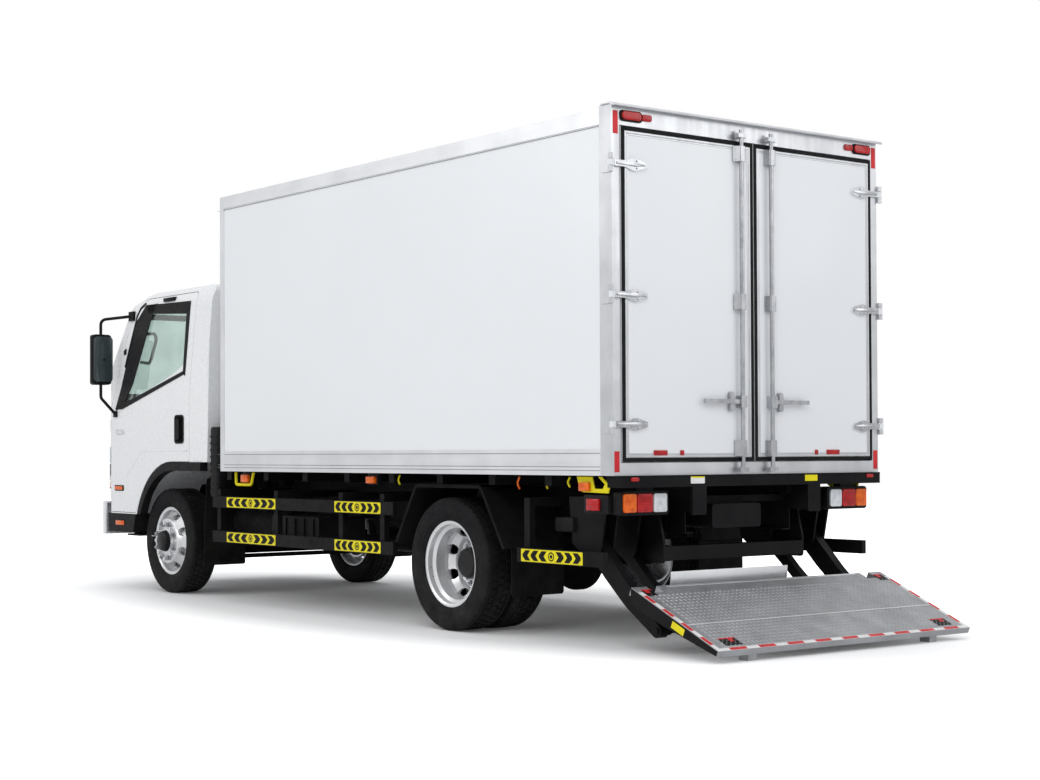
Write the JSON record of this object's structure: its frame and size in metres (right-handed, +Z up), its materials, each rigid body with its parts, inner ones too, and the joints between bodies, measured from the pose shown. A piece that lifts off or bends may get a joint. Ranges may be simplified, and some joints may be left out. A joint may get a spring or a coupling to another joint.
{
  "type": "refrigerated truck",
  "caption": "Forward-control light truck with an insulated refrigerated box body, a nose-mounted cooling unit and a folding tail lift lowered to the ground.",
  "frame": {"origin": "on the ground, under the middle of the truck's length and width", "axes": "+X forward, +Y to the truck's left, +Z up"},
  "size_m": [7.2932, 2.4868, 2.969],
  "materials": {
    "chassis": "satin",
    "black_plastic": "satin",
    "white_paint": "gloss",
    "panel": "satin",
    "aluminium": "satin",
    "steel": "satin",
    "glass": "gloss",
    "lamp": "gloss",
    "lamp_clear": "gloss",
    "rubber": "matte",
    "flap": "matte",
    "seat_fabric": "matte",
    "iron": "rough"
  },
  "bodies": {
    "chassis": {"ladder_frame": "chassis", "front_axle": "iron", "rear_axle": "iron", "leaf_springs": "iron", "engine_block": "iron", "propeller_shaft": "iron", "silencer": "steel", "battery_box": "black_plastic", "fuel_tank": "chassis", "front_bumper": "white_paint", "side_guards": "chassis", "mudguards": "flap", "body_subframe": "chassis", "box_floor": "aluminium", "box_side_left": "panel", "box_side_right": "panel", "box_front_wall": "panel", "box_roof": "panel", "box_rails": "aluminium", "rear_frame": "aluminium", "refrigeration_unit": "white_paint", "rear_bar": "chassis", "tail_lamps": "lamp", "marker_lamps": "lamp", "lift_frame": "chassis", "power_unit": "chassis", "air_intake": "black_plastic"},
    "cab": {"cab_shell": "white_paint", "cab_glass": "glass", "cab_trim": "black_plastic", "head_lamps": "lamp_clear", "seats": "seat_fabric", "dashboard": "black_plastic"},
    "door_left_body": {"door_left": "white_paint", "door_glass_left": "glass", "mirror_left": "black_plastic"},
    "door_right_body": {"door_right": "white_paint", "door_glass_right": "glass", "mirror_right": "black_plastic"},
    "steering_wheel_body": {"steering_wheel": "black_plastic"},
    "cargo_door_left_body": {"cargo_door_left": "panel", "lock_gear_left": "steel"},
    "cargo_door_right_body": {"cargo_door_right": "panel", "lock_gear_right": "steel"},
    "knuckle_left_body": {"knuckle_left": "iron"},
    "knuckle_right_body": {"knuckle_right": "iron"},
    "tie_rod_body": {"tie_rod": "iron"},
    "wheel_front_left_body": {"tyre_front_left": "rubber", "wheel_front_left": "aluminium"},
    "wheel_front_right_body": {"tyre_front_right": "rubber", "wheel_front_right": "aluminium"},
    "wheels_rear_left_body": {"tyres_rear_left": "rubber", "wheels_rear_left": "aluminium"},
    "wheels_rear_right_body": {"tyres_rear_right": "rubber", "wheels_rear_right": "aluminium"},
    "lift_arms_body": {"lift_arms": "chassis"},
    "lift_links_body": {"lift_links": "chassis"},
    "lift_carriage_body": {"lift_carriage": "chassis"},
    "lift_platform_body": {"lift_platform": "aluminium"}
  },
  "joints": [
    {"name": "cab_tilt", "type": "hinge", "parent": "chassis", "child": "cab", "pos_m": [3.58864, 0, 0.655], "axis": [0, -1, 0], "range_deg": [-45, 0]},
    {"name": "door_left_swing", "type": "hinge", "parent": "cab", "child": "door_left_body", "pos_m": [3.32814, 1.0205, 1], "axis": [0, 0, -1], "range_deg": [0, 65]},
    {"name": "door_right_swing", "type": "hinge", "parent": "cab", "child": "door_right_body", "pos_m": [3.32814, -1.0205, 1], "axis": [0, 0, 1], "range_deg": [0, 65]},
    {"name": "steering_wheel_turn", "type": "hinge", "parent": "cab", "child": "steering_wheel_body", "pos_m": [2.90864, 0.47, 1.518], "axis": [-0.7574, 0, 0.6529], "range_deg": [-420, 420]},
    {"name": "cargo_door_left_swing", "type": "hinge", "parent": "chassis", "child": "cargo_door_left_body", "pos_m": [-2.93236, 1.085, 1.93], "axis": [0, 0, -1], "range_deg": [0, 260]},
    {"name": "cargo_door_right_swing", "type": "hinge", "parent": "chassis", "child": "cargo_door_right_body", "pos_m": [-2.93236, -1.085, 1.93], "axis": [0, 0, 1], "range_deg": [0, 260]},
    {"name": "steer_left", "type": "hinge", "parent": "chassis", "child": "knuckle_left_body", "pos_m": [2.45864, 0.7, 0.4055], "axis": [0, 0, 1], "range_deg": [-35, 35]},
    {"name": "steer_right", "type": "hinge", "parent": "chassis", "child": "knuckle_right_body", "pos_m": [2.45864, -0.7, 0.4055], "axis": [0, 0, 1], "range_deg": [-35, 35]},
    {"name": "tie_rod_pivot", "type": "hinge", "parent": "knuckle_left_body", "child": "tie_rod_body", "pos_m": [2.28064, 0.7, 0.2755], "axis": [0, 0, 1], "range_deg": [-35, 35]},
    {"name": "wheel_front_left_spin", "type": "hinge", "parent": "knuckle_left_body", "child": "wheel_front_left_body", "pos_m": [2.45864, 0.84, 0.4055], "axis": [0, 1, 0], "continuous": true},
    {"name": "wheel_front_right_spin", "type": "hinge", "parent": "knuckle_right_body", "child": "wheel_front_right_body", "pos_m": [2.45864, -0.84, 0.4055], "axis": [0, 1, 0], "continuous": true},
    {"name": "wheels_rear_left_spin", "type": "hinge", "parent": "chassis", "child": "wheels_rear_left_body", "pos_m": [-1.35636, 0.8, 0.4055], "axis": [0, 1, 0], "continuous": true},
    {"name": "wheels_rear_right_spin", "type": "hinge", "parent": "chassis", "child": "wheels_rear_right_body", "pos_m": [-1.35636, -0.8, 0.4055], "axis": [0, 1, 0], "continuous": true},
    {"name": "lift_arms_raise", "type": "hinge", "parent": "chassis", "child": "lift_arms_body", "pos_m": [-2.55636, 0, 0.55], "axis": [0, 1, 0], "range_deg": [0, 56.5]},
    {"name": "lift_links_swing", "type": "hinge", "parent": "chassis", "child": "lift_links_body", "pos_m": [-2.44636, 0, 0.565], "axis": [0, 1, 0], "range_deg": [0, 56.5]},
    {"name": "lift_carriage_level", "type": "hinge", "parent": "lift_arms_body", "child": "lift_carriage_body", "pos_m": [-3.05636, 0, 0.12], "axis": [0, 1, 0], "range_deg": [-56.5, 0]},
    {"name": "lift_platform_fold", "type": "hinge", "parent": "lift_carriage_body", "child": "lift_platform_body", "pos_m": [-3.05334, 0, 0.25827], "axis": [0, 1, 0], "range_deg": [0, 113.5]}
  ],
  "couplings": [
    {"joint": "steer_right", "follows": "steer_left", "ratio": 1},
    {"joint": "tie_rod_pivot", "follows": "steer_left", "ratio": -1},
    {"joint": "steering_wheel_turn", "follows": "steer_left", "ratio": 12},
    {"joint": "lift_links_swing", "follows": "lift_arms_raise", "ratio": 1},
    {"joint": "lift_carriage_level", "follows": "lift_arms_raise", "ratio": -1}
  ]
}
